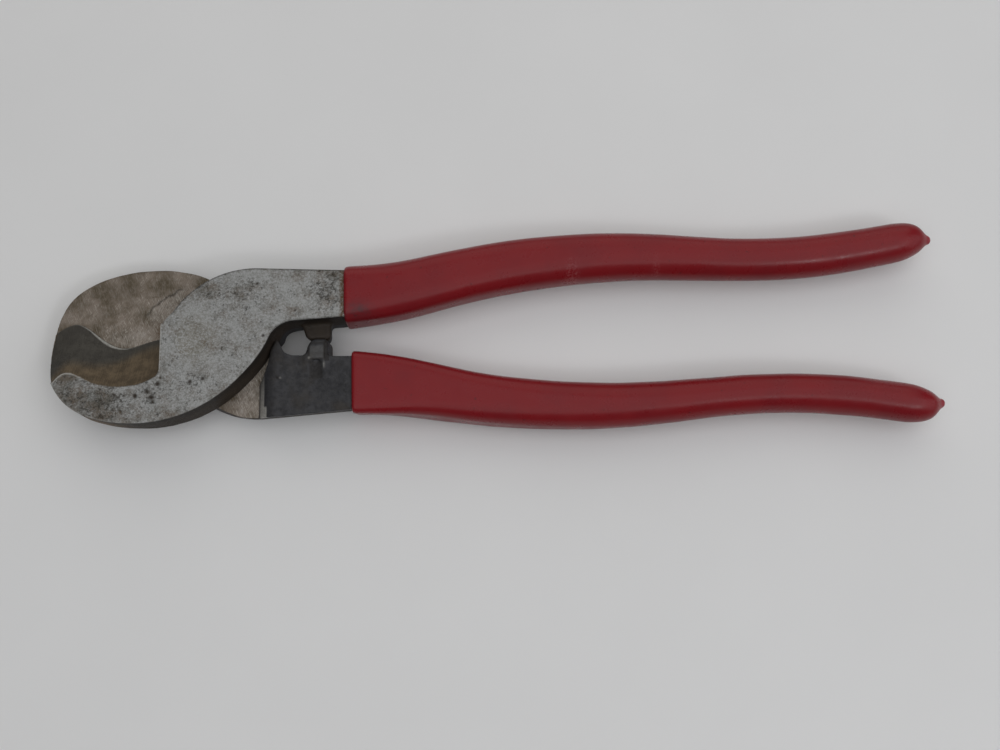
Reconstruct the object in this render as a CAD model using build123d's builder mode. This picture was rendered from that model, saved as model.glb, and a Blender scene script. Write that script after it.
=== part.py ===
from build123d import *
import os

# One-hand lever cable cutter, closed, lying flat. Millimetres.
# The pivot axis is Z through the origin, z = 0 is the back face of the head, +X runs to the
# handles and +Y to the upper handle. Both levers are the same forging: the rear one is the
# front one turned half a turn about X at the pivot plane, where their flat faces meet.

# Head
half_thickness = 7.0  # one forging's share of the head, pivot plane to ground face
face_gap = 0.025  # each mating face stands back this far from the pivot plane
jaw_points = [(-37.8, 8.4), (-39.3, 0.5), (-38.2, -8.15), (-32.7, -16.95), (-24.8, -20.95), (-13.0, -22.4)]
neck_points = [(-2.4, -20.5), (8.0, -15.05), (13.3, -10.4), (20.2, -0.95)]
jaw_direction = (-0.38, -1.0)  # at the jaw's tip
neck_direction = (0.43, 0.9)  # where the neck runs into the crook
crook_corner = (22.7, 4.2)
crook_radius = 8.0
shoulder_arc = [(17.1, 19.7), (4.6, 16.9), (-5.3, 8.0)]  # outer round of the head
pocket_wall_x = -8.5  # end wall of the ground pocket, beside the pivot
pocket_corner = (pocket_wall_x, 4.6)

# Hollow-ground pocket that leaves the cutting edge, as lines on the pivot plane and on the face
edge_line = [(-43.0, 2.0), (-39.5, 4.9), (-34.0, 7.6), (-27.0, 3.6), (-19.8, 0.3), (-14.0, 1.7),
             (pocket_wall_x, 2.9)]
face_line = [(-41.0, -18.0), (-36.8, -10.7), (-34.0, -8.3), (-27.5, -10.6), (-19.0, -12.5), (-12.5, -11.6),
             (pocket_wall_x, -9.4)]
hollow_height = 2.6  # above the pivot plane, where the hollow is measured
hollow_share = 0.55  # of the way from edge line to face line at that height
pocket_far = (-48.0, 14.0)  # corner of the pocket's cut, outside the jaw

# Handle steel, its end inside the grip and the step past the pivot plane
mouth_x = 42.0
mouth_low_y = 5.05
mouth_high_y = 18.2
handle_step = 3.5
step_foot = 17.0  # x of the step's foot, on the pivot plane
step_slope = 2.6  # the step leans back this far over its height
step_relief = [(17.0, 7.6), (23.5, -3.4)]  # keeps the step clear of the other lever's neck
step_far = (60.0, 30.0)  # corner of the step's cut, outside the handle
step_below = 9.0  # the shoulder's cut runs down to here
step_reach = 40.0  # and this far to each side

# Stop bosses that meet when the tool is closed
stop_gap = 0.06
stop_height = 2.3  # above the pivot plane
stop_round = 1.4
stop_points = [(27.6, 6.0), (29.6, 1.6), (30.8, stop_gap / 2), (35.7, stop_gap / 2), (36.7, 1.2), (36.9, 6.0)]

# Pivot rivet, ground flush at both faces
rivet_radius = 3.9
rivet_head_radius = 4.6
rivet_head_depth = 1.2
rivet_clearance = 0.05  # radial, in the front lever, which turns on the rivet

# Sections along the handle: x, y, height over the pivot plane, width, depth, corner radius
tang_stations = [
    (42.0, 11.7, 1.75, 12.6, 10.5, 1.0),
    (56.0, 13.5, 1.70, 12.3, 10.5, 1.7),
    (75.0, 17.2, 1.30, 11.3, 10.3, 2.8),
    (95.0, 20.1, 0.90, 10.6, 10.0, 3.7),
    (120.0, 21.1, 0.50, 9.6, 9.6, 4.3),
    (150.0, 19.4, 0.20, 8.4, 8.8, 4.1),
    (176.0, 20.4, 0.00, 8.5, 8.6, 4.2),
    (192.0, 22.7, 0.00, 8.0, 8.2, 3.9),
]
front_grip_stations = [
    (41.0, 12.15, 1.75, 16.8, 12.9, 3.5),
    (56.0, 13.6, 1.70, 15.9, 12.9, 4.5),
    (75.0, 17.45, 1.30, 14.85, 12.7, 4.9),
    (95.0, 20.4, 0.90, 14.2, 12.4, 5.2),
    (120.0, 21.45, 0.50, 13.2, 12.0, 5.5),
    (150.0, 19.65, 0.20, 11.9, 11.2, 5.4),
    (176.0, 20.3, 0.00, 11.8, 11.0, 5.4),
    (194.5, 22.85, 0.00, 11.2, 10.6, 5.2),
]
rear_grip_stations = [
    (42.6, 11.95, 1.75, 16.8, 12.9, 2.2),
    (56.0, 13.3, 1.70, 15.6, 12.9, 2.9),
    (75.0, 17.05, 1.30, 13.85, 12.7, 4.0),
    (95.0, 19.75, 0.90, 13.0, 12.4, 4.9),
    (120.0, 20.65, 0.50, 11.9, 12.0, 5.5),
    (150.0, 19.1, 0.20, 10.65, 11.2, 5.2),
    (176.0, 20.35, 0.00, 10.9, 11.0, 5.4),
    (192.2, 22.9, 0.00, 10.8, 10.6, 5.2),
]
# The drip end: x and y past the last section, and the section's share of it
tip_ends = [(0.0, 0.0, 1.0), (5.0, 0.8, 0.85), (8.6, 0.95, 0.5), (11.15, 0.7, 0.11)]

front_side = Plane(origin=(0, 0, half_thickness), x_dir=(1, 0, 0), z_dir=(0, 0, 1))
rear_side = Plane(origin=(0, 0, half_thickness), x_dir=(1, 0, 0), z_dir=(0, 0, -1))


def lever_plan(plane):
    """One lever's plan: jaw, neck, crook, handle root and the round of the head."""
    with BuildSketch(plane) as plan:
        with BuildLine():
            Spline(*jaw_points, *neck_points, tangents=[jaw_direction, neck_direction])
            FilletPolyline(neck_points[-1], crook_corner, (mouth_x, mouth_low_y), radius=crook_radius)
            Polyline((mouth_x, mouth_low_y), (mouth_x, mouth_high_y), shoulder_arc[0])
            ThreePointArc(*shoulder_arc)
            Polyline(shoulder_arc[-1], pocket_corner, jaw_points[0])
        make_face()
    return plan.sketch


def pocket_plan(plane, share):
    """The pocket's plan, its edge this share of the way from the edge line to the face line."""
    line = [
        (edge_x + share * (face_x - edge_x), edge_y + share * (face_y - edge_y))
        for (edge_x, edge_y), (face_x, face_y) in zip(edge_line, face_line)
    ]
    with BuildSketch(plane) as plan:
        with BuildLine():
            Spline(*line)
            Polyline(line[-1], (pocket_wall_x, pocket_far[1]), pocket_far, (pocket_far[0], line[0][1]), line[0])
        make_face()
    return plan.sketch


def handle_section(side, station):
    """A rounded section across a handle."""
    x, y, height, width, depth, corner = station
    centre = side.from_local_coords(Vector(x, y, height))
    with BuildSketch(Plane(origin=centre, x_dir=side.y_dir, z_dir=side.x_dir)) as section:
        RectangleRounded(width, depth, corner)
    return section.sketch


def tip_section(side, last, end):
    """A section of a sleeve's drip end, which follows its last section."""
    x, y, height, width, depth, corner = last
    ahead, aside, share = end
    return handle_section(side, (x + ahead, y + aside, height, share * width, share * depth, share * corner))


def rivet_solid(clearance):
    """The double countersunk rivet, grown by the clearance."""
    shaft = rivet_radius + clearance
    head = rivet_head_radius + clearance
    top = 2 * half_thickness
    with BuildPart() as rivet:
        with BuildSketch(Plane.XZ):
            with BuildLine():
                Polyline(
                    (0, 0),
                    (head, 0),
                    (shaft, rivet_head_depth),
                    (shaft, top - rivet_head_depth),
                    (head, top),
                    (0, top),
                    close=True,
                )
            make_face()
        revolve(axis=Axis.Z)
    return rivet


def stop_boss(side):
    """The boss beside the crook that the other lever's boss meets."""
    with BuildPart() as stop:
        with BuildSketch(side.offset(-handle_step)):
            with BuildLine():
                Polyline(*stop_points, close=True)
            make_face()
        extrude(amount=handle_step + stop_height)
        nose = stop.edges().filter_by(Axis.X).filter_by(lambda edge: abs(edge.center().Y) < stop_gap)
        fillet(nose, radius=stop_round)
    return stop.part


def forge_lever(side, clearance):
    """One forging on its side of the pivot plane, with a bore this clear of the rivet."""
    with BuildPart() as lever:
        extrude(lever_plan(side.offset(face_gap)), amount=half_thickness - face_gap)

        # The pocket behind the cutting edge
        levels = ((0.0, 0.0), (hollow_height, hollow_share), (half_thickness, 1.0))
        pocket = [pocket_plan(side.offset(height), share) for height, share in levels]
        loft(pocket, mode=Mode.SUBTRACT)

        # The handle's step past the pivot plane, clear of the other lever's neck
        with BuildSketch(side.offset(face_gap)):
            add(lever_plan(Plane.XY))
            with BuildLine():
                near_step, below_step = (step_foot, step_far[1]), (step_far[0], step_relief[-1][1])
                Polyline(step_far, near_step, *step_relief, below_step, close=True)
            make_face(mode=Mode.INTERSECT)
        extrude(amount=-face_gap - handle_step)

        # The step's leaning shoulder
        with BuildSketch(Plane(origin=side.origin, x_dir=side.x_dir, z_dir=-side.y_dir)):
            with BuildLine():
                Polyline(
                    (step_foot, -face_gap),
                    (step_foot, -step_below),
                    (step_foot + step_slope, -step_below),
                    (step_foot + step_slope, -handle_step),
                    close=True,
                )
            make_face()
        extrude(amount=step_reach, both=True, mode=Mode.SUBTRACT)

        add(stop_boss(side))
        loft([handle_section(side, station) for station in tang_stations])
        add(rivet_solid(clearance).part, mode=Mode.SUBTRACT)
    return lever


def dip_grip(side, stations, lever):
    """One vinyl sleeve dipped over a lever's tang, closed at the tip."""
    with BuildPart() as grip:
        loft([handle_section(side, station) for station in stations])
        loft([tip_section(side, stations[-1], end) for end in tip_ends])
        add(lever.part, mode=Mode.SUBTRACT)
    return grip


front_half = forge_lever(front_side, rivet_clearance)
front_half.part.label = "front_half"

rear_half = forge_lever(rear_side, 0.0)
rear_half.part.label = "rear_half"

pivot_rivet = rivet_solid(0.0)
pivot_rivet.part.label = "pivot_rivet"

upper_grip = dip_grip(front_side, front_grip_stations, front_half)
upper_grip.part.label = "upper_grip"

lower_grip = dip_grip(rear_side, rear_grip_stations, rear_half)
lower_grip.part.label = "lower_grip"

os.makedirs("parts", exist_ok=True)
for piece in (front_half, rear_half, pivot_rivet, upper_grip, lower_grip):
    export_step(piece.part, f"parts/{piece.part.label}.step")
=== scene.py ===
import math

import bpy
import numpy as np
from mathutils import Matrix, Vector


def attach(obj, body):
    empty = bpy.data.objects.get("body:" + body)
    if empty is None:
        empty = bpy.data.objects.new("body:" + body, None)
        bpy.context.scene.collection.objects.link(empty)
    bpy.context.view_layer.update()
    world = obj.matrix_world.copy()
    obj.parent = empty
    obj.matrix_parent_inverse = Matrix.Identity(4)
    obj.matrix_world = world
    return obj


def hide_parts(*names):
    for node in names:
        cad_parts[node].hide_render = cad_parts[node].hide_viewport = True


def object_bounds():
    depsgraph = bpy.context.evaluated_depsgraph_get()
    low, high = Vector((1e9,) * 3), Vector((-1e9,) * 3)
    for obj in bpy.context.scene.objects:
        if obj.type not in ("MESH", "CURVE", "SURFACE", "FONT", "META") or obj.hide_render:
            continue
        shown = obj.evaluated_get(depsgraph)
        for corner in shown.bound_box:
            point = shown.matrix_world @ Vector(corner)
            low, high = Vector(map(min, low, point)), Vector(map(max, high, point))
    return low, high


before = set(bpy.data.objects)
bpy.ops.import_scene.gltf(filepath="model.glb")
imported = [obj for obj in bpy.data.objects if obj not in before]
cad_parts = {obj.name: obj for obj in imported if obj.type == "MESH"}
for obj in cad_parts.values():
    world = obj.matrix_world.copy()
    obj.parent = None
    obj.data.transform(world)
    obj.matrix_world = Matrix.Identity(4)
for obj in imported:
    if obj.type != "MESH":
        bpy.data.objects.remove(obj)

import openvdb
from mathutils import Matrix, Vector

# Cable cutter in metres, in the frame's axes: z = 0 is the back of the head, the pivot axis is Z
# through the origin and +X runs to the handles. Shapes are worked out in one lever's own
# millimetres: x, y and the height over the pivot plane. The rear lever is the same forging turned
# half a turn about X.

cad_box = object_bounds()
MM = 0.001

# ---------------------------------------------------------------- sizes, as in part.py

half_thickness = 7.0
face_gap = 0.025
jaw_points = [(-37.8, 8.4), (-39.3, 0.5), (-38.2, -8.15), (-32.7, -16.95), (-24.8, -20.95), (-13.0, -22.4)]
neck_points = [(-2.4, -20.5), (8.0, -15.05), (13.3, -10.4), (20.2, -0.95)]
jaw_direction = (-0.38, -1.0)
neck_direction = (0.43, 0.9)
crook_corner = (22.7, 4.2)
crook_radius = 8.0
shoulder_arc = [(17.1, 19.7), (4.6, 16.9), (-5.3, 8.0)]
pocket_wall_x = -8.5
pocket_corner = (pocket_wall_x, 4.6)
edge_line = [(-43.0, 2.0), (-39.5, 4.9), (-34.0, 7.6), (-27.0, 3.6), (-19.8, 0.3), (-14.0, 1.7),
             (pocket_wall_x, 2.9)]
face_line = [(-41.0, -18.0), (-36.8, -10.7), (-34.0, -8.3), (-27.5, -10.6), (-19.0, -12.5), (-12.5, -11.6),
             (pocket_wall_x, -9.4)]
mouth_low = (42.0, 5.05)
mouth_high = (42.0, 18.2)
handle_step = 3.5
step_foot = 17.0
step_slope = 2.6
step_relief = [(17.0, 7.6), (23.5, -3.4)]
stop_gap = 0.06
stop_height = 2.3
rivet_radius = 3.9
rivet_head_radius = 4.6
rivet_head_depth = 1.2
rivet_clearance = 0.05
tang_stations = [  # x, y, height, width, depth, corner radius
    (42.0, 11.7, 1.75, 12.6, 10.5, 1.0),
    (56.0, 13.5, 1.70, 12.3, 10.5, 1.7),
    (75.0, 17.2, 1.30, 11.3, 10.3, 2.8),
    (95.0, 20.1, 0.90, 10.6, 10.0, 3.7),
    (120.0, 21.1, 0.50, 9.6, 9.6, 4.3),
    (150.0, 19.4, 0.20, 8.4, 8.8, 4.1),
    (176.0, 20.4, 0.00, 8.5, 8.6, 4.2),
    (192.0, 22.7, 0.00, 8.0, 8.2, 3.9),
]
front_grip_stations = [
    (41.0, 12.15, 1.75, 16.8, 12.9, 3.5),
    (56.0, 13.6, 1.70, 15.9, 12.9, 4.5),
    (75.0, 17.45, 1.30, 14.85, 12.7, 4.9),
    (95.0, 20.4, 0.90, 14.2, 12.4, 5.2),
    (120.0, 21.45, 0.50, 13.2, 12.0, 5.5),
    (150.0, 19.65, 0.20, 11.9, 11.2, 5.4),
    (176.0, 20.3, 0.00, 11.8, 11.0, 5.4),
    (194.5, 22.85, 0.00, 11.2, 10.6, 5.2),
]
rear_grip_stations = [
    (42.6, 11.95, 1.75, 16.8, 12.9, 2.2),
    (56.0, 13.3, 1.70, 15.6, 12.9, 2.9),
    (75.0, 17.05, 1.30, 13.85, 12.7, 4.0),
    (95.0, 19.75, 0.90, 13.0, 12.4, 4.9),
    (120.0, 20.65, 0.50, 11.9, 12.0, 5.5),
    (150.0, 19.1, 0.20, 10.65, 11.2, 5.2),
    (176.0, 20.35, 0.00, 10.9, 11.0, 5.4),
    (192.2, 22.9, 0.00, 10.8, 10.6, 5.2),
]

# ---------------------------------------------------------------- sizes of the looks alone

voxel = 0.27  # of the grid that the forgings are meshed on
grid_low = (-41.5, -24.5, -5.0)
steel_end_x = 46.0  # the full steel section ends here, inside its sleeve
grid_high = (steel_end_x + 1.5, 22.5, 8.3)
neck_draft = 0.14  # the neck's wall leans out going back from the ground face
shoulder_draft = 0.175  # and so does the shoulder's
nose_draft = 0.08
edge_round = 0.12
land_height = 0.42  # honed land along the cutting edge
land_slope = 0.9  # the land runs back this far per millimetre of height
hollow_power = 1.5  # how hollow the grind is, where 1 would be flat
pocket_fillet = 1.3
shoulder_round = 2.2
relief_room = 0.4  # more than part.py's, for the draft
sweep_radius = 20.6  # the other lever's leaning neck sweeps this far out as it opens
lug_left, lug_right = ((28.4, 5.0), (30.0, 0.0)), ((36.9, 0.0), (36.9, 8.0))  # the stop boss's sides
lug_left_draft, lug_right_draft = 0.23, 0.1  # per millimetre below stop_height
lug_end_y = 6.4  # the stop boss stands proud of the handle up to here
lug_rise = 0.4
dent_centre, dent_reach, dent_depth = (33.0, 9.8), (2.0, 4.2), 0.6  # the hollow punched behind the lug
pit_depth = 0.2
face_pits = [  # x, y, radius of the deepest rust pits in the ground face
    (-11.4, -13.9, 0.9), (-10.3, -15.6, 0.8), (-9.9, -16.9, 0.7), (-8.8, -11.9, 0.7), (-8.1, -10.2, 0.5),
    (-14.6, -15.0, 0.6), (-18.2, -19.3, 0.6), (-0.2, -11.7, 0.7), (3.2, -10.9, 0.7), (17.3, 15.3, 0.5),
    (16.4, 14.6, 0.4), (13.6, 5.4, 0.35), (18.5, 4.4, 0.35), (19.2, 0.5, 0.5), (27.8, 7.3, 0.3),
]
pit_clusters = [  # centre and reach of the regions with many small pits
    ((-11.0, -14.5), (3.0, 4.0)), ((1.0, -11.0), (5.0, 2.5)), ((14.0, 12.0), (6.0, 4.0)),
    ((36.0, 12.0), (4.0, 6.0)), ((-20.0, -17.0), (5.0, 3.0)),
]
rubbed_places = [((-7.0, -9.0), (6.0, 5.0)), ((-18.0, -3.2), (8.0, 2.6))]  # on the mating face
root_streaks = [((35.1, 7.2), (0.22, 0.8)), ((31.1, 5.4), (0.25, 0.3)), ((23.3, 10.6), (0.2, 0.2))]
scar_radius = 17.3  # the other head's rim has torn an arc of the mating face, at these degrees
scar_from, scar_to = (100, 112), (152, 142)
sleeve_wall = 1.2
lip_length = 1.2
scuff_places = (103.0, 104.6, 127.0)  # x of the scuffs across the upper grip
sharp_angle = 38  # degrees, edges past this are shaded sharp

# The camera, the light and the floor, in metres
camera_place = (0.08043, -0.08215, 0.29266)
camera_turns = [(-1.879, "Z"), (13.962, "X"), (-0.242, "Z")]  # degrees
camera_sensor = 36.0
camera_lens = 38.7
light_target = (0.08, 0.0, 0.0)
room_colour = (0.95, 0.97, 1.0, 1.0)
room_strength = 0.08
floor_reach = 3.0

# The finishes
floor_tones = (0.72, 0.72, 0.715), (0.77, 0.77, 0.765)
floor_roughness = 0.45
steel_specular = 0.25
vinyl_specular = 0.27
ground_roughness = (0.42, 0.58)
bare_roughness = (0.5, 0.64)  # of all the steel that isn't the ground face
steel_bump = 0.05  # millimetres
vinyl_bump = 0.012


# ---------------------------------------------------------------- camera and light

def make_camera():
    """The view from the near side of the handles, looking down."""
    data = bpy.data.cameras.new("camera")
    data.sensor_width = camera_sensor
    data.lens = camera_lens
    camera = bpy.data.objects.new("camera", data)
    first, second, third = [Matrix.Rotation(math.radians(angle), 4, axis) for angle, axis in camera_turns]
    camera.matrix_world = Matrix.Translation(camera_place) @ (first @ second @ third)
    bpy.context.scene.collection.objects.link(camera)
    bpy.context.scene.camera = camera


def area_light(name, place, size, power, colour):
    """A soft rectangular light that faces the tool."""
    data = bpy.data.lights.new(name, "AREA")
    data.shape = "RECTANGLE"
    data.size, data.size_y = size
    data.energy = power
    data.color = colour
    light = bpy.data.objects.new(name, data)
    light.location = place
    aim = Vector(light_target) - Vector(place)
    light.rotation_euler = aim.to_track_quat("-Z", "Y").to_euler()
    bpy.context.scene.collection.objects.link(light)


def make_light():
    """A dim room: a bright ceiling, a window on the far side, a weaker one on the right, a small lamp."""
    world = bpy.data.worlds.new("room")
    world.use_nodes = True
    background = world.node_tree.nodes["Background"]
    background.inputs["Color"].default_value = room_colour
    background.inputs["Strength"].default_value = room_strength
    bpy.context.scene.world = world
    bpy.context.scene.view_settings.view_transform = "Standard"
    area_light("far_side", (0.1, 1.3, 1.0), (2.5, 1.6), 9.5, (1.0, 0.985, 0.95))
    area_light("ceiling", (0.15, -0.25, 1.4), (2.6, 1.7), 13.0, (0.99, 0.99, 1.0))
    area_light("right_side", (1.4, -0.2, 0.8), (1.5, 1.2), 4.5, (0.94, 0.95, 1.0))
    area_light("lamp", (0.75, -0.75, 1.1), (0.3, 0.22), 1.8, (0.96, 0.97, 1.0))


# ---------------------------------------------------------------- node helpers

def tone(red, green, blue):
    """A colour from its 0..255 display values."""
    return tuple(
        ((value / 255 + 0.055) / 1.055) ** 2.4 if value > 10 else value / 255 / 12.92
        for value in (red, green, blue)
    )


ground_clean = tone(140, 141, 139), tone(162, 163, 162)
ground_dull = tone(98, 96, 90), tone(104, 95, 85)
mating_dull = tone(90, 80, 65), tone(132, 121, 110)
mating_bright = tone(166, 161, 154)
hollow_grey = tone(58, 55, 50), tone(70, 67, 61)
hollow_brown = tone(76, 65, 50), tone(102, 88, 69)
scale_tones = tone(49, 49, 51), tone(66, 66, 68)
scale_brown = tone(62, 56, 48)
wall_tones = tone(40, 34, 30), tone(58, 50, 41)
jaw_wall_tones = tone(96, 80, 58), tone(118, 99, 74)
pit_tone = tone(50, 46, 40)
stain_tone = tone(112, 101, 74)
scratch_tone = tone(176, 170, 161)
groove_tone = tone(52, 46, 39)
rust_tone = tone(84, 62, 38)
# a dark tone for painted shade and for real marks
shade_and_mark_tone = tone(36, 32, 28)
bright_tone = tone(178, 176, 170)
vinyl_red = (0.205, 0.0085, 0.012), (0.18, 0.009, 0.013)
vinyl_pale = (0.28, 0.04, 0.05)
grime_tone = tone(70, 44, 48)
speck_tone = tone(58, 24, 26)
scuff_tone = tone(160, 90, 92)


class Nodes:
    """A material's node tree, with short calls for the nodes that the finishes use."""

    def __init__(self, name):
        self.material = bpy.data.materials.new(name)
        self.material.use_nodes = True
        self.tree = self.material.node_tree
        self.shader = self.tree.nodes["Principled BSDF"]
        self.place = self.add("ShaderNodeTexCoord").outputs["Object"]

    def add(self, kind, **settings):
        node = self.tree.nodes.new(kind)
        for key, value in settings.items():
            setattr(node, key, value)
        return node

    def feed(self, socket, value):
        if isinstance(value, bpy.types.NodeSocket):
            self.tree.links.new(value, socket)
        elif isinstance(value, tuple):
            socket.default_value = (*value, 1.0) if len(value) == 3 and socket.type == "RGBA" else value
        else:
            socket.default_value = value

    def math(self, operation, a, b=0.0):
        node = self.add("ShaderNodeMath", operation=operation)
        self.feed(node.inputs[0], a)
        self.feed(node.inputs[1], b)
        return node.outputs[0]

    def total(self, *terms):
        """The sum of (value, share) pairs."""
        result = 0.0
        for value, share in terms:
            node = self.add("ShaderNodeMath", operation="MULTIPLY_ADD")
            for socket, number in zip(node.inputs, (value, share, result)):
                self.feed(socket, number)
            result = node.outputs[0]
        return result

    def noise(self, size, detail=3.0, rough=0.55, shift=0.0, turn=0.0):
        """Noise with features of about this size in millimetres, one size or one per axis, turned about Z."""
        sizes = size if isinstance(size, tuple) else (size,) * 3
        turned = self.add("ShaderNodeVectorRotate", rotation_type="Z_AXIS")
        self.feed(turned.inputs["Vector"], self.place)
        turned.inputs["Angle"].default_value = math.radians(turn)
        scaled = self.add("ShaderNodeMapping")
        self.feed(scaled.inputs["Vector"], turned.outputs[0])
        scaled.inputs["Scale"].default_value = [1 / (MM * s) for s in sizes]
        scaled.inputs["Location"].default_value = (shift, shift * 0.7, shift * 1.3)
        node = self.add("ShaderNodeTexNoise")
        self.feed(node.inputs["Vector"], scaled.outputs[0])
        node.inputs["Scale"].default_value = 1.0
        node.inputs["Detail"].default_value = detail
        node.inputs["Roughness"].default_value = rough
        return node.outputs["Fac"]

    def ramp(self, value, low, high, out_low=0.0, out_high=1.0):
        """Maps low..high to out_low..out_high with a smooth step."""
        node = self.add("ShaderNodeMapRange", interpolation_type="SMOOTHSTEP")
        for socket, number in zip(node.inputs, (value, low, high, out_low, out_high)):
            self.feed(socket, number)
        return node.outputs[0]

    def mix(self, share, a, b):
        """Colour a where share is 0, b where it is 1."""
        node = self.add("ShaderNodeMix", data_type="RGBA")
        self.feed(node.inputs["Factor"], share)
        self.feed(node.inputs["A"], a)
        self.feed(node.inputs["B"], b)
        return node.outputs["Result"]

    def blend(self, share, a, b):
        """Number a where share is 0, b where it is 1."""
        node = self.add("ShaderNodeMix", data_type="FLOAT")
        self.feed(node.inputs["Factor"], share)
        self.feed(node.inputs["A"], a)
        self.feed(node.inputs["B"], b)
        return node.outputs["Result"]

    def zone(self, name):
        """What the points of the mesh hold under this name."""
        return self.add("ShaderNodeAttribute", attribute_name=name).outputs["Fac"]

    def bump(self, height, depth):
        """Bump from a height of 0..1 that is this many millimetres deep."""
        node = self.add("ShaderNodeBump")
        node.inputs["Strength"].default_value = 1.0
        node.inputs["Distance"].default_value = depth * MM
        self.feed(node.inputs["Height"], height)
        return node.outputs["Normal"]


def make_floor():
    """A plain pale table top at the height of the lowest grip."""
    mesh = bpy.data.meshes.new("floor")
    signs = [(-1, -1), (1, -1), (1, 1), (-1, 1)]
    corners = [(floor_reach * across, floor_reach * along, cad_box[0].z) for across, along in signs]
    mesh.from_pydata(corners, [], [(0, 1, 2, 3)])
    floor = bpy.data.objects.new("floor", mesh)
    bpy.context.scene.collection.objects.link(floor)
    n = Nodes("table_top")
    n.feed(n.shader.inputs["Base Color"], n.mix(n.noise(60.0), *floor_tones))
    n.shader.inputs["Roughness"].default_value = floor_roughness
    mesh.materials.append(n.material)


# ---------------------------------------------------------------- lines and fields, in millimetres

def spline(at, values, wanted, start=None, end=None):
    """Cubic spline through values at the given parameters, with natural ends or given end slopes."""
    at = np.asarray(at, float)
    values = np.asarray(values, float)
    gap = np.diff(at)
    rate = np.diff(values, axis=0) / gap[:, None]
    count = len(at)
    matrix = np.zeros((count, count))
    right = np.zeros_like(values)
    for i in range(1, count - 1):
        matrix[i, i - 1:i + 2] = gap[i], 2 * (gap[i - 1] + gap[i]), gap[i - 1]
        right[i] = 3 * (gap[i] * rate[i - 1] + gap[i - 1] * rate[i])
    for row, beside, slope, side_rate in ((0, 1, start, rate[0]), (-1, -2, end, rate[-1])):
        if slope is None:
            matrix[row, row], matrix[row, beside] = 2.0, 1.0
            right[row] = 3 * side_rate
        else:
            matrix[row, row] = 1.0
            right[row] = slope
    slopes = np.linalg.solve(matrix, right)
    span = np.clip(np.searchsorted(at, wanted, side="right") - 1, 0, count - 2)
    u = ((wanted - at[span]) / gap[span])[:, None]
    width = gap[span][:, None]
    return (
        (1 + 2 * u) * (1 - u) ** 2 * values[span]
        + u * (1 - u) ** 2 * width * slopes[span]
        + u ** 2 * (3 - 2 * u) * values[span + 1]
        + u ** 2 * (u - 1) * width * slopes[span + 1]
    )


def curve(points, start=None, end=None, pieces=120):
    """Points along the smooth curve through the given ones; start and end are its end directions."""
    points = np.asarray(points, float)
    at = np.concatenate([[0.0], np.cumsum(np.linalg.norm(np.diff(points, axis=0), axis=1))])
    units = [None if way is None else np.array(way) / np.hypot(*way) for way in (start, end)]
    return spline(at, points, np.linspace(0.0, at[-1], pieces), *units)


def arc(first, middle, last, pieces=60):
    """Points along the circle through three points."""
    (ax, ay), (bx, by), (cx, cy) = first, middle, last
    matrix = 2 * np.array([[bx - ax, by - ay], [cx - ax, cy - ay]])
    centre = np.linalg.solve(matrix, [bx**2 + by**2 - ax**2 - ay**2, cx**2 + cy**2 - ax**2 - ay**2])
    angles = np.unwrap([math.atan2(y - centre[1], x - centre[0]) for x, y in (first, middle, last)])
    turn = np.linspace(angles[0], angles[2], pieces)
    return centre + np.hypot(ax - centre[0], ay - centre[1]) * np.column_stack([np.cos(turn), np.sin(turn)])


def rounded_corner(before, corner, after, radius):
    """Points along the arc that rounds a corner."""
    corner = np.array(corner)
    ways = [(np.array(end) - corner) / np.hypot(*(np.array(end) - corner)) for end in (before, after)]
    half = math.acos(ways[0] @ ways[1]) / 2
    middle = (ways[0] + ways[1]) / np.hypot(*(ways[0] + ways[1]))
    centre = corner + middle * radius / math.sin(half)
    reach = radius / math.tan(half)
    return arc(corner + ways[0] * reach, centre - middle * radius, corner + ways[1] * reach, 24)


def beyond(start, through, x):
    """The point at this x on the line from start through another point."""
    share = (x - start[0]) / (through[0] - start[0])
    return (x, start[1] + share * (through[1] - start[1]))


def lever_outline():
    """One lever's plan, closed, with the handle steel ending inside its sleeve."""
    outer = curve(jaw_points + neck_points, jaw_direction, neck_direction)
    crook = rounded_corner(neck_points[-1], crook_corner, mouth_low, crook_radius)
    end = [beyond(crook_corner, mouth_low, steel_end_x), beyond(shoulder_arc[0], mouth_high, steel_end_x)]
    return np.concatenate([outer, crook, end, arc(*shoulder_arc), [pocket_corner]])


def outline_distance(outline, x, y):
    """Signed distance to a closed outline, negative inside."""
    nearest = np.full(x.shape, np.inf)
    inside = np.zeros(x.shape, bool)
    for (ax, ay), (bx, by) in zip(outline, np.roll(outline, -1, axis=0)):
        run, rise = bx - ax, by - ay
        along = np.clip(((x - ax) * run + (y - ay) * rise) / (run**2 + rise**2 + 1e-12), 0, 1)
        nearest = np.minimum(nearest, (x - ax - along * run) ** 2 + (y - ay - along * rise) ** 2)
        if ay != by:
            inside ^= ((ay > y) != (by > y)) & (x < ax + run * (y - ay) / rise)
    return np.where(inside, -1, 1) * np.sqrt(nearest)


def meet(a, b, radius):
    """What two fields share, with the edge between them rounded."""
    corner = np.hypot(np.maximum(a + radius, 0), np.maximum(b + radius, 0))
    return np.minimum(-radius, np.maximum(a, b)) + corner


def join(a, b, radius):
    """Two fields together, with a fillet between them."""
    return -meet(-a, -b, radius)


def side_of(a, b, x, y):
    """Signed distance to the line from a to b, positive on its right."""
    run, rise = b[0] - a[0], b[1] - a[1]
    return ((x - a[0]) * rise - (y - a[1]) * run) / math.hypot(run, rise)


def step(value, low, high):
    """Smooth step from 0 at low to 1 at high."""
    u = np.clip((value - low) / (high - low), 0, 1)
    return u * u * (3 - 2 * u)


def blob(x, y, centre, reach):
    """A soft spot, 1 at its centre."""
    return np.exp(-(((x - centre[0]) / reach[0]) ** 2) - ((y - centre[1]) / reach[1]) ** 2)


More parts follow.
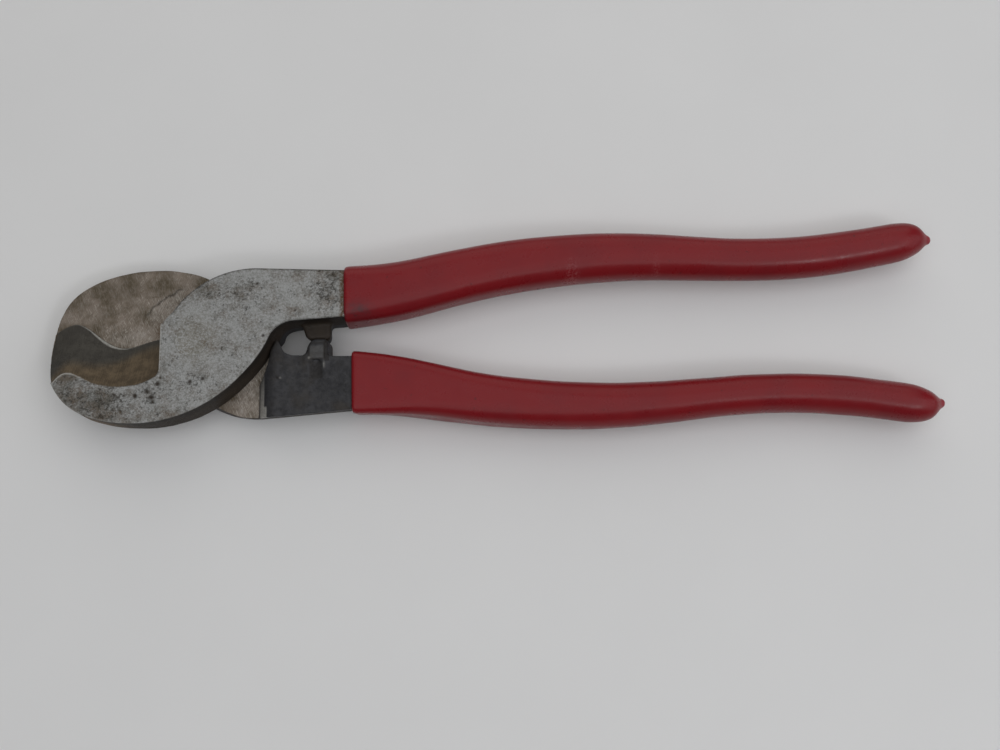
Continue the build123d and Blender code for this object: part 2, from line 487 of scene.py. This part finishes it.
def ripple(x, y, z, size, seed):
    """Seeded smooth waves between about -1 and 1, with humps of about this size."""
    draw = np.random.default_rng(seed)
    total = 0.0
    for _ in range(9):
        way = draw.normal(size=3)
        way *= 2 * math.pi / size * draw.uniform(0.5, 1.3) / np.linalg.norm(way)
        total = total + np.sin(way[0] * x + way[1] * y + way[2] * z + draw.uniform(0, 2 * math.pi))
    return total / 4


def pocket_lines(x):
    """The cutting edge and the face edge of the hollow, as y at each x."""
    return [np.interp(x, *curve(line).T) for line in (edge_line, face_line)]


def hollow_y(x, height):
    """Where the hollow-ground surface lies, as y at each x and height."""
    edge, face = pocket_lines(x)
    land = edge - land_slope * land_height
    climb = np.clip((height - land_height) / (half_thickness - land_height), 0, 1.2) ** (1 / hollow_power)
    near = edge - land_slope * np.clip(height, 0, land_height)
    return np.where(height < land_height, near, land + (face - land) * climb)


# ---------------------------------------------------------------- meshes of four-sided faces

def mesh_of(name, points, quads, side):
    """A smooth-shaded mesh from a lever's millimetres, in the frame; side is 1 for the front lever."""
    mesh = bpy.data.meshes.new(name)
    x, y, height = np.asarray(points, float).T
    placed = np.column_stack([x, side * y, half_thickness + side * height]) * MM
    mesh.vertices.add(len(placed))
    mesh.loops.add(quads.size)
    mesh.polygons.add(len(quads))
    mesh.vertices.foreach_set("co", placed.astype(np.float32).ravel())
    mesh.polygons.foreach_set("loop_start", np.arange(0, quads.size, 4, dtype=np.int32))
    mesh.loops.foreach_set("vertex_index", quads.astype(np.int32).ravel())
    mesh.update(calc_edges=True)
    mesh.shade_smooth()
    mesh.set_sharp_from_angle(angle=math.radians(sharp_angle))
    return mesh


def loft(rings):
    """Points and faces of a closed tube through rings of equal count, with both ends capped."""
    count = len(rings[0])
    ring = np.arange(count)
    quads = []
    for i in range(len(rings) - 1):
        here, there = i * count + ring, (i + 1) * count + ring
        quads.append(np.column_stack([here, there, np.roll(there, -1), np.roll(here, -1)]))
    half = np.arange(count // 2 - 1)
    cap = np.column_stack([half, half + 1, count - 2 - half, count - 1 - half])
    quads += [cap, cap[:, ::-1] + (len(rings) - 1) * count]
    return np.concatenate(rings), np.concatenate(quads)


def rounded_rectangle(width, depth, corner, per_corner=8, per_side=4):
    """Points round a rounded rectangle, the same count for any size, as (across, up)."""
    ring = []
    for quarter in range(4):
        across = (1, -1, -1, 1)[quarter] * (width / 2 - corner)
        up = (1, 1, -1, -1)[quarter] * (depth / 2 - corner)
        for i in range(per_corner + 1):
            angle = math.pi / 2 * (quarter + i / per_corner)
            ring.append((across + corner * math.cos(angle), up + corner * math.sin(angle)))
        end, angle = np.array(ring[-1]), math.pi / 2 * (quarter + 1)
        length = (depth if quarter % 2 else width) - 2 * corner
        way = np.array([-math.sin(angle), math.cos(angle)]) * length / per_side
        ring += [tuple(end + way * j) for j in range(1, per_side)]
    return np.array(ring)


def section_ring(stations, x, inset=0.0, lean=0.0):
    """The rounded section of a row of stations at x, drawn in by the inset, its outer side leaning."""
    stations = np.array(stations)
    y, height, width, depth, corner = spline(stations[:, 0], stations[:, 1:], np.array([x]))[0]
    shape = rounded_rectangle(width - 2 * inset, depth - 2 * inset, max(corner - inset, 0.4))
    leaning = lean * step(shape[:, 0], 0.0, width / 2) * shape[:, 1]
    return np.column_stack([np.full(len(shape), x), y + shape[:, 0] - leaning, height + shape[:, 1]])


# ---------------------------------------------------------------- the forged levers

def stop_field(x, y, h):
    """The stop boss beside the crook: a lug that stands a little proud of the handle."""
    left = side_of(*lug_left, x, y) + lug_left_draft * (stop_height - h)
    right = side_of(*lug_right, x, y) + lug_right_draft * (stop_height - h)
    plan = meet(meet(left, right, 0.1), stop_gap / 2 - y, 1.6)
    plan = meet(plan, y - lug_end_y, 0.8)
    return meet(meet(plan, h - stop_height, 1.2), -handle_step - lug_rise - h, 0.9)


def dent_field(x, y, h):
    """The hollow punched into the handle behind the lug."""
    across = (x - dent_centre[0]) / dent_reach[0]
    along = (y - dent_centre[1]) / dent_reach[1]
    deep = (h + handle_step + 0.1) / dent_depth
    return (np.sqrt(across**2 + along**2 + deep**2) - 1) * dent_depth


def pit_field(x, y, h):
    """The deepest rust pits in the ground face."""
    nearest = np.full((x + y).shape, 9.0)
    for pit_x, pit_y, radius in face_pits:
        nearest = np.minimum(nearest, np.hypot(x - pit_x, y - pit_y) / radius)
    nearest = np.maximum(nearest + 0.35 * ripple(x, y, h, 1.7, 40), 0.0)
    return (np.hypot(nearest, (h - half_thickness) / pit_depth) - 1) * pit_depth


def wall_field(x, y, h, plan, seed):
    """The forging's side walls, a little uneven, leaning out going back from the ground face."""
    neck = neck_draft * step(x, -22.0, 6.0) * step(y, 4.2, 0.5)
    shoulder = shoulder_draft * step(x, 4.0, 14.0) * step(y, 6.0, 12.0)
    nose = nose_draft * step(x, -30.0, -37.0)
    uneven = 0.04 * ripple(x, y, h, 7.0, seed) + 0.025 * ripple(x, y, h, 2.6, seed + 1)
    return plan - (neck + shoulder + nose) * (half_thickness - h) + uneven


def bore_field(x, y, h, clearance):
    """The countersunk bore that the rivet fills."""
    slope = (rivet_head_radius - rivet_radius) / rivet_head_depth
    reach = np.hypot(x, y) - clearance
    sink = (reach - rivet_head_radius + (half_thickness - h) * slope) / math.hypot(1, slope)
    return np.minimum(reach - rivet_radius, sink)


def lever_field(seed):
    """Signed field of one lever on the grid, negative in the steel."""
    axes = [np.arange(low, high, voxel) for low, high in zip(grid_low, grid_high)]
    x, y, h = axes[0][:, None, None], axes[1][None, :, None], axes[2][None, None, :]

    plan = outline_distance(lever_outline(), *np.meshgrid(axes[0], axes[1], indexing="ij"))[:, :, None]
    field = meet(wall_field(x, y, h, plan, seed), h - half_thickness, edge_round)

    shoulder = (step_foot - step_slope * h / handle_step - x) / math.hypot(1, step_slope / handle_step)
    relief = meet(side_of(*step_relief, x, y) + relief_room, sweep_radius - np.hypot(x, y), 0.3)
    scaly = 0.05 * ripple(x, y, h, 6.0, seed + 2)
    handle = meet(meet(shoulder, -handle_step - h + scaly, shoulder_round), relief, 0.4)
    field = meet(field, np.minimum(face_gap - h, handle), 0.3)
    field = join(field, stop_field(x, y, h), 1.0)
    field = meet(field, -dent_field(x, y, h), 0.25)

    surface = y - hollow_y(axes[0][:, None], axes[2][None, :])[:, None, :]
    climb = np.gradient(surface, voxel, axis=2)
    run = np.gradient(surface, voxel, axis=0)
    surface = surface / np.sqrt(1 + climb**2 + run**2)
    field = np.maximum(field, join(surface, pocket_wall_x - x, pocket_fillet))

    field = np.maximum(field, -bore_field(x, y, h, rivet_clearance))
    field = np.maximum(field, -pit_field(x, y, h))
    return field.astype(np.float32)


def sharpen(points):
    """Moves the points along the ground face's edges onto the true edges, which the grid cuts off."""
    x, y, h = points.T
    _, face = pocket_lines(x)
    outline = lever_outline()
    low = (h > half_thickness - voxel) & (h < half_thickness - 0.02)
    ring = np.flatnonzero(low & (x < steel_end_x - 1))
    plan = outline_distance(outline, x[ring], y[ring])
    rim = ring[np.abs(plan) < voxel]
    plan = plan[np.abs(plan) < voxel]
    reach = 0.05
    slopes = [
        outline_distance(outline, x[rim] + dx, y[rim] + dy)
        - outline_distance(outline, x[rim] - dx, y[rim] - dy)
        for dx, dy in ((reach, 0.0), (0.0, reach))
    ]
    points[rim, :2] -= plan[:, None] * np.column_stack(slopes) / (2 * reach)
    points[rim, 2] = half_thickness

    line = low & (x < pocket_wall_x - 1.2) & (np.abs(y - face) < voxel)
    points[line, 1] = face[line]
    wall = low & (np.abs(x - pocket_wall_x) < voxel) & (y > face + 1.2) & (y < pocket_corner[1])
    points[wall, 0] = pocket_wall_x
    radius = np.hypot(x, y)
    bore = low & (np.abs(radius - rivet_head_radius - rivet_clearance) < voxel)
    points[bore, :2] *= ((rivet_head_radius + rivet_clearance) / radius[bore])[:, None]
    points[line | wall | bore, 2] = half_thickness
    return points


def lever_mesh(name, side, seed):
    """The forging from its field, with the tang inside the sleeve, and its points in millimetres."""
    grid = openvdb.FloatGrid()
    grid.copyFromArray(lever_field(seed))
    points, quads = grid.convertToQuads(0.0)
    points = sharpen(points * voxel + np.array(grid_low))
    tang = [section_ring(tang_stations, x) for x in np.linspace(steel_end_x - 2, 192.0, 19)]
    tang_points, tang_quads = loft(tang)
    quads = np.concatenate([quads, tang_quads + len(points)])
    points = np.concatenate([points, tang_points])
    return mesh_of(name, points, quads, side), points


def store_zones(mesh, zones):
    """Keeps named values from 0 to 1 on the mesh's points, for its finish."""
    for name, values in zones.items():
        attribute = mesh.attributes.new(name, "FLOAT", "POINT")
        attribute.data.foreach_set("value", np.clip(values, 0, 1).astype(np.float32))


def pocket_zones(x, y, h, plan):
    """The pocket's length, its hollow, the hollow's brown part, the edge's bright land, and a painted shadow
    line along the edge.
    """
    edge, face = pocket_lines(x)
    from_edge = edge - y
    pocket = step(x, pocket_wall_x + 0.3, pocket_wall_x - 0.1)
    on_surface = (h > 0.1) * (h < 6.9) * (np.abs(y - hollow_y(x, h)) < 1.4)
    hollow = pocket * (y > face - 0.4) * on_surface * (plan < 0.3)
    down = np.clip(from_edge / (edge - face), 0, 1)
    brown_start = 0.16 + 0.62 * step(x, -14.0, -34.0)
    brown = step(down, brown_start - 0.12, brown_start + 0.16)
    land_width = 0.3 + 0.75 * np.exp(-(((x + 25.5) / 4.5) ** 2))
    land = hollow * step(from_edge, land_width + 0.12, land_width - 0.12) * step(from_edge, 0.15, 0.4)
    # Painted shadow: a dark line along the cutting edge, where the gap against the other lever is shaded.
    edge_shadow = hollow * step(from_edge, 0.4, 0.15)
    return pocket, hollow, brown, land, edge_shadow


def root_marks(x, y, h, scale):
    """The bright and the dark places on the handle's root, about its lug and dent: worn spots, bright
    streaks, a nick and dark strips, with a painted highlight on the shoulder slope and painted shade in the
    dent and along the neck's wall.
    """
    outer = step(h, -3.4, -3.6)
    with_dent = h < -2.5
    pad = step(np.abs(x - 33.2), 2.0, 1.7) * step(np.abs(y - 3.8), 1.9, 1.6) * outer
    streaked = with_dent * sum(blob(x, y, centre, reach) for centre, reach in root_streaks)
    # Painted highlight: a bright band along the shoulder slope.
    shoulder = scale * step(np.abs(x - 18.1), 0.9, 0.4) * step(y, 5.0, 19.0)
    patch = step(np.abs(x - 18.6), 1.1, 0.8) * step(y, 18.0, 18.6) * (h < 0)
    bright = patch + 0.1 * pad + 0.6 * streaked + shoulder

    beside_pad = step(np.abs(x - 35.9), 0.8, 0.5) * step(np.abs(y - 3.4), 3.2, 2.6) * outer
    pad_edge = np.maximum(np.abs(x - 33.1) - 2.0, np.abs(y - 3.5) - 2.1)
    round_pad = step(np.abs(pad_edge - 0.1), 0.4, 0.1) * outer
    nick = with_dent * blob(x, y, (22.5, 10.5), (0.5, 0.5))
    # Painted shade in the dent behind the lug.
    dent = with_dent * step(np.abs(x - 32.9), 2.1, 1.5) * step(np.abs(y - 8.7), 2.8, 2.0)
    # Painted shade on the handle face along the neck's wall.
    past_relief = np.clip(-side_of(*step_relief, x, y), 0, 9)
    corner = scale * np.exp(-past_relief / 1.8) * (h < -3.0)
    dark = 0.7 * beside_pad + 0.8 * nick + 0.6 * dent + 0.7 * round_pad + 0.9 * corner
    return bright, dark


def paint_zones(mesh, points, side, mouth_x):
    """Names what each point of a lever belongs to, how worn it is, and where shade and highlights are
    painted, for the steel's finish.
    """
    x, y, h = points.T
    normals = np.empty(len(points) * 3, np.float32)
    mesh.vertex_normals.foreach_get("vector", normals)
    up = side * normals.reshape(-1, 3)[:, 2]
    plan = outline_distance(lever_outline(), x, y)
    _, face = pocket_lines(x)
    pocket, hollow, brown, land, edge_shadow = pocket_zones(x, y, h, plan)
    ground = step(h, 6.8, 6.95)
    mating = step(-up, 0.6, 0.9) * step(h, 0.5, 0.2) * (h > -0.5) * (x < 24)
    scale = step(x, step_foot - 0.6, step_foot + 0.1) * step(h, 0.0, -0.3)
    root_bright, root_dark = root_marks(x, y, h, scale)

    # Bright lines along the ground face's edges: worn edges, with a painted highlight where the edge catches
    # the light.
    tip_rim = pocket * ground * step(np.abs(y - face), 0.35, 0.05) * step(x, -26.0, -34.0)
    wall_rim = ground * step(np.abs(x - pocket_wall_x), 0.35, 0.1) * (y > -8.5) * (y < 5)
    jaw_rim = ground * step(-plan, 0.35, 0.1) * step(x, -15.0, -22.0) * (y < -10)
    # Painted shade: darker bands on the walls just under the ground face's edge.
    rim_shade = step(-plan, 0.45, 0.15) * step(h, 6.2, 6.7) * step(y, -2.0, 2.0) * step(x, -8.0, -4.0)
    wall_shade = step(-plan, 0.3, 0.0) * step(h, 3.6, 5.8) * (1 - ground)

    jaw = step(x, -14.0, -26.0)
    near_mouth = step(x, mouth_x - 14.0, mouth_x - 1.0)
    top = blob(x, y, (5.0, 13.5), (5.0, 3.0))
    patina = 0.15 + 0.75 * jaw + 0.5 * near_mouth * step(y, 6, 13) + 0.6 * top + 0.25 * step(y, -12, -18)
    pitting = sum(blob(x, y, centre, reach) for centre, reach in pit_clusters)
    deep = ground * sum(blob(x, y, (pit_x, pit_y), (0.7 * radius,) * 2) for pit_x, pit_y, radius in face_pits)

    from_scar = np.hypot(x, y) - scar_radius + 0.5 * ripple(x, y, 0.0, 3.0, 5)
    turn = np.degrees(np.arctan2(-y, x))
    span = step(turn, *scar_from) * step(turn, *scar_to)
    scar = step(np.abs(from_scar), 0.55, 0.2) * span * mating
    torn = np.exp(-(((from_scar + 1.6) / 1.5) ** 2)) * span * mating
    rust = step(x, mouth_x - 1.5, mouth_x - 0.5) * ground
    rust = rust + 0.9 * blob(x, y, (-10.5, -4.5), (1.6, 2.6)) * mating
    stain = blob(x, y, (1.0, 0.0), (4.5, 5.5)) * ground
    worn = torn + 0.8 * step(x, 8.0, 14.0) + sum(blob(x, y, centre, reach) for centre, reach in rubbed_places)
    store_zones(mesh, {
        "ground": ground, "mating": mating, "hollow": hollow, "scale": scale, "brown": brown, "jaw": jaw,
        "patina": patina, "deep": deep, "pitting": pitting, "rust": rust, "stain": stain, "worn": worn,
        "bright": 0.8 * land + tip_rim + 0.6 * wall_rim + 0.35 * jaw_rim + root_bright,
        "dark": edge_shadow + 0.65 * scar + 0.8 * rim_shade + 0.8 * wall_shade + root_dark,
    })


def ground_steel(n, seed):
    """The ground face: pale grey, freckled with brown patina and small dark pits."""
    grain = n.noise(0.55, 5.0, 0.75, seed)
    cloud = n.noise(5.0, 5.0, 0.65, seed + 1.0)
    hue = n.noise(4.0, 3.0, 0.5, seed + 2.0)
    dirty = n.total(
        (n.noise(3.0, 4.0, 0.65, seed + 6.0), 0.28), (n.zone("patina"), 0.08), (n.zone("pitting"), 0.08),
    )
    spread = n.total((grain, 0.8), (cloud, 1.1), (n.zone("patina"), 0.24))
    patina = n.ramp(spread, 0.85, 1.35)
    clean = n.mix(n.ramp(grain, 0.3, 0.7), ground_clean[1], ground_clean[0])
    dull = n.mix(n.ramp(hue, 0.35, 0.65), *ground_dull)
    colour = n.mix(patina, clean, dull)
    rough = n.total((n.noise(1.1, 5.0, 0.75, seed + 4.0), 1.0), (dirty, 1.0), (n.zone("deep"), 0.17))
    pits = n.ramp(rough, 0.74, 0.86)
    specks = n.ramp(n.total((n.noise(0.55, 4.0, 0.7, seed + 5.0), 1.0), (dirty, 0.8)), 0.71, 0.82)
    hole = n.math("MAXIMUM", pits, n.math("MULTIPLY", specks, 0.75))
    colour = n.mix(n.math("MULTIPLY", hole, 0.75), colour, pit_tone)
    stain = n.math("MULTIPLY", n.zone("stain"), n.ramp(grain, 0.35, 0.6, 0.05, 0.5))
    return n.mix(stain, colour, stain_tone), patina, hole, grain


def mating_steel(n, seed):
    """The face that rubs on the other lever: brown, with worn streaks and pale scratches both ways."""
    cloud = n.noise(7.0, 4.0, 0.6, seed + 1.0)
    hue = n.noise(3.0, 4.0, 0.6, seed + 2.0)
    along = n.noise((0.28, 2.4, 1.5), 4.0, 0.7, seed + 6.0, turn=-16.0)
    across = n.noise((0.28, 1.8, 1.5), 4.0, 0.7, seed + 7.0, turn=28.0)
    streaks = n.blend(n.ramp(cloud, 0.42, 0.58), along, across)
    worn = n.total((streaks, 1.3), (hue, 0.35), (n.zone("worn"), 0.22))
    dull = n.mix(n.ramp(n.total((cloud, 0.8), (hue, 0.2)), 0.36, 0.62), *mating_dull)
    colour = n.mix(n.ramp(worn, 0.75, 1.5), dull, mating_bright)
    scratches = n.math(
        "MAXIMUM",
        n.ramp(n.noise((0.2, 2.6, 1.5), 3.0, 0.6, seed + 13.0, turn=-24.0), 0.56, 0.66),
        n.ramp(n.noise((0.2, 2.0, 1.5), 3.0, 0.6, seed + 14.0, turn=36.0), 0.6, 0.7),
    )
    where = n.ramp(n.total((cloud, 1.0), (n.zone("worn"), 0.3)), 0.42, 0.72, 0.15, 0.95)
    colour = n.mix(n.math("MULTIPLY", scratches, where), colour, scratch_tone)
    return n.mix(n.ramp(streaks, 0.42, 0.28, 0.0, 0.55), colour, groove_tone), streaks


def steel_finish(name, seed):
    """Worn steel: pale pitted ground face, brown scratched mating face, hollow and black forging scale, with
    painted shade and painted highlights from the dark and bright zones.
    """
    n = Nodes(name)
    ground, patina, hole, grain = ground_steel(n, 3.0)
    mating, streaks = mating_steel(n, seed)
    fine = n.noise(0.35, 3.0, 0.6, seed + 3.0)

    brush = n.noise((0.25, 4.0, 4.0), 3.0, 0.6, seed + 8.0)
    smear = n.ramp(n.total((brush, 0.4), (n.noise(2.6, 4.0, 0.6, seed + 12.0), 0.6)), 0.38, 0.64)
    hollow = n.mix(n.zone("brown"), n.mix(smear, *hollow_grey), n.mix(smear, *hollow_brown))

    wall = n.mix(n.noise(2.5, 4.0, 0.6, seed + 9.0), *wall_tones)
    wall = n.mix(n.zone("jaw"), wall, n.mix(grain, *jaw_wall_tones))
    rough = n.noise(1.8, 5.0, 0.65, seed + 10.0)
    scale = n.mix(n.ramp(rough, 0.3, 0.7), *scale_tones)
    scale = n.mix(n.ramp(n.noise(9.0, 4.0, 0.6, seed + 11.0), 0.5, 0.75, 0.0, 0.5), scale, scale_brown)

    colour = n.mix(n.zone("scale"), wall, scale)
    colour = n.mix(n.zone("mating"), colour, mating)
    colour = n.mix(n.zone("hollow"), colour, hollow)
    colour = n.mix(n.zone("ground"), colour, ground)
    rust = n.math("MULTIPLY", n.zone("rust"), n.ramp(grain, 0.35, 0.6, 0.2, 1.0))
    colour = n.mix(rust, colour, rust_tone)
    # The dark zone: painted shadow along the cutting edge, painted shade under the face's edges, in the dent
    # and along the neck's wall, and real marks such as the scar and a nick.
    dark = n.math("MULTIPLY", n.zone("dark"), n.ramp(fine, 0.25, 0.6, 0.45, 1.0))
    colour = n.mix(dark, colour, shade_and_mark_tone)
    # The bright zone: the worn land, pad and rub patch, with painted highlights along the face's edges and on
    # the shoulder slope.
    bright = n.math("MULTIPLY", n.zone("bright"), n.ramp(grain, 0.3, 0.6, 0.55, 1.0))
    colour = n.mix(bright, colour, bright_tone)
    n.feed(n.shader.inputs["Base Color"], colour)

    shine = n.blend(n.zone("mating"), n.blend(n.zone("scale"), 0.1, 0.35), 0.4)
    shine = n.blend(n.zone("ground"), shine, 0.6)
    n.feed(n.shader.inputs["Metallic"], n.blend(bright, shine, 0.5))
    n.shader.inputs["Specular IOR Level"].default_value = steel_specular
    bare = n.ramp(grain, 0.3, 0.7, *bare_roughness)
    n.feed(n.shader.inputs["Roughness"], n.blend(n.zone("ground"), bare, n.blend(patina, *ground_roughness)))
    relief = n.total(
        (hole, -1.0), (patina, -0.15), (n.zone("mating"), n.math("MULTIPLY", streaks, 1.0)), (grain, 0.3),
        (n.zone("scale"), n.math("MULTIPLY", rough, 1.5)),
    )
    n.feed(n.shader.inputs["Normal"], n.bump(relief, steel_bump))
    return n.material


def make_lever(node, body, slot, side, mouth_x, seed):
    """One forging, painted and riding on its body."""
    mesh, points = lever_mesh(node.split("_")[0] + "_lever_steel", side, seed)
    paint_zones(mesh, points, side, mouth_x)
    mesh.materials.append(steel_finish(slot + "_finish", float(seed)))
    lever = bpy.data.objects.new(mesh.name, mesh)
    bpy.context.scene.collection.objects.link(lever)
    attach(lever, body)
    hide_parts(node)
    print(mesh.name, len(mesh.polygons), "faces")


# ---------------------------------------------------------------- the grips

tip_ends = [  # distance past the last station, y past it, width and depth as a share of it
    (0.0, 0.0, 1.0, 1.0), (3.4, 0.5, 0.94, 0.94), (5.9, 0.85, 0.81, 0.81), (7.9, 0.95, 0.6, 0.6),
    (9.2, 0.85, 0.37, 0.37), (9.9, 0.75, 0.26, 0.26), (10.6, 0.65, 0.21, 0.21), (11.0, 0.65, 0.13, 0.13),
    (11.15, 0.65, 0.05, 0.05),
]
lip_ends = [  # distance behind the mouth and inset, from the lip's inner edge to the outer skin
    (lip_length, sleeve_wall), (0.3, sleeve_wall), (0.06, 1.12), (0.0, 0.95), (0.03, 0.72), (0.14, 0.42),
    (0.38, 0.18), (0.8, 0.03),
]


def tip_ring(last, x):
    """The sleeve's section at x in its drip end, which follows the last station."""
    ends = np.array(tip_ends)
    aside, wide, deep = spline(ends[:, 0], ends[:, 1:], np.array([x - last[0]]))[0]
    width, depth = wide * last[3], deep * last[4]
    corner = min(last[5], 0.495 * min(width, depth))
    shape = rounded_rectangle(width, depth, corner)
    return np.column_stack([np.full(len(shape), x), last[1] + aside + shape[:, 0], shape[:, 1]])


def make_grip(node, body, side, stations, seed):
    """A dipped sleeve: its cavity round the tang, its lip, its skin and its drip end."""
    mouth_x, last = stations[0][0], stations[-1]
    tip_x = last[0] + tip_ends[-1][0]

    def skin(x, inset):
        return section_ring(stations, x, inset, shoulder_draft * step(x, 70.0, 46.0))

    rings = [skin(x, sleeve_wall) for x in np.linspace(last[0], mouth_x + 2.5, 20)]
    rings += [skin(mouth_x + ahead, inset) for ahead, inset in lip_ends]
    rings += [skin(x, 0.0) for x in np.arange(mouth_x + lip_length, last[0], 1.6)]
    rings += [tip_ring(last, x) for x in np.linspace(last[0], tip_x, 26)]
    points, quads = loft(rings)
    x, y, h = points.T
    points[:, 1:] += 0.05 * np.column_stack([ripple(x, y, h, 14.0, seed), ripple(x, y, h, 14.0, seed + 1)])
    mesh = mesh_of(node + "_sleeve", points, quads, side)
    if side > 0:
        smudge = blob(x, y, (mouth_x + 4.0, 6.5), (3.5, 2.0))
        scuff = sum(blob(x, y, (at, 15.0), (0.35, 3.5)) for at in scuff_places)
    else:
        smudge = blob(x, y, (140.0, 14.5), (1.6, 0.9))
        scuff = np.zeros_like(x)
    store_zones(mesh, {"pale": step(x, tip_x - 3.6, tip_x), "smudge": smudge, "scuff": scuff})
    grip = bpy.data.objects.new(mesh.name, mesh)
    bpy.context.scene.collection.objects.link(grip)
    smooth = grip.modifiers.new("smooth", "SUBSURF")
    smooth.levels = smooth.render_levels = 1
    mesh.materials.append(vinyl_finish(node + "_vinyl", float(seed)))
    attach(grip, body)
    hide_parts(node)


def vinyl_finish(name, seed):
    """Dipped red vinyl: satin, a little uneven, with smudges, scuffs and a paler drip."""
    n = Nodes(name)
    cloud = n.ramp(n.noise(16.0, 4.0, 0.6, seed), 0.4, 0.7)
    red = n.mix(cloud, *vinyl_red)
    red = n.mix(n.zone("pale"), red, vinyl_pale)
    patchy = n.ramp(n.noise(1.5, 4.0, 0.6, seed + 3.0), 0.3, 0.7, 0.3, 0.9)
    grime = n.math("MULTIPLY", n.zone("smudge"), patchy)
    red = n.mix(grime, red, grime_tone)
    specks = n.ramp(n.noise(1.4, 2.0, 0.5, seed + 4.0), 0.71, 0.76, 0.0, 0.5)
    red = n.mix(specks, red, speck_tone)
    broken = n.ramp(n.noise(0.5, 3.0, 0.6, seed + 5.0), 0.45, 0.65, 0.0, 0.5)
    scuffed = n.math("MULTIPLY", n.zone("scuff"), broken)
    red = n.mix(scuffed, red, scuff_tone)
    n.feed(n.shader.inputs["Base Color"], red)
    n.shader.inputs["Specular IOR Level"].default_value = vinyl_specular
    satin = n.ramp(n.noise(5.0, 4.0, 0.6, seed + 2.0), 0.3, 0.7, 0.25, 0.36)
    n.feed(n.shader.inputs["Roughness"], n.math("ADD", satin, n.math("MULTIPLY", scuffed, 0.3)))
    skin = n.total((n.noise(0.8, 3.0, 0.6, seed + 1.0), 1.0), (n.noise(5.0, 2.0, 0.5, seed + 6.0), 3.0))
    n.feed(n.shader.inputs["Normal"], n.bump(skin, vinyl_bump))
    return n.material


def finish_rivet():
    """The rivet keeps its CAD shape and is ground flush with the same worn face."""
    n = Nodes("rivet_finish")
    colour, patina, hole, grain = ground_steel(n, 3.0)
    colour = n.mix(n.ramp(grain, 0.35, 0.6, 0.0, 0.3), colour, stain_tone)
    n.feed(n.shader.inputs["Base Color"], colour)
    n.shader.inputs["Metallic"].default_value = 0.6
    n.shader.inputs["Specular IOR Level"].default_value = steel_specular
    n.feed(n.shader.inputs["Roughness"], n.blend(patina, *ground_roughness))
    n.feed(n.shader.inputs["Normal"], n.bump(n.total((hole, -1.0), (grain, 0.3)), steel_bump))
    for slot in bpy.data.objects["pivot_rivet"].material_slots:
        slot.material = n.material


make_camera()
make_light()
make_floor()
make_lever("front_half", "front_lever", "ground_steel", 1, front_grip_stations[0][0], 3)
make_lever("rear_half", "rear_lever", "forged_steel", -1, rear_grip_stations[0][0], 8)
make_grip("upper_grip", "front_lever", 1, front_grip_stations, 21)
make_grip("lower_grip", "rear_lever", -1, rear_grip_stations, 23)
finish_rivet()
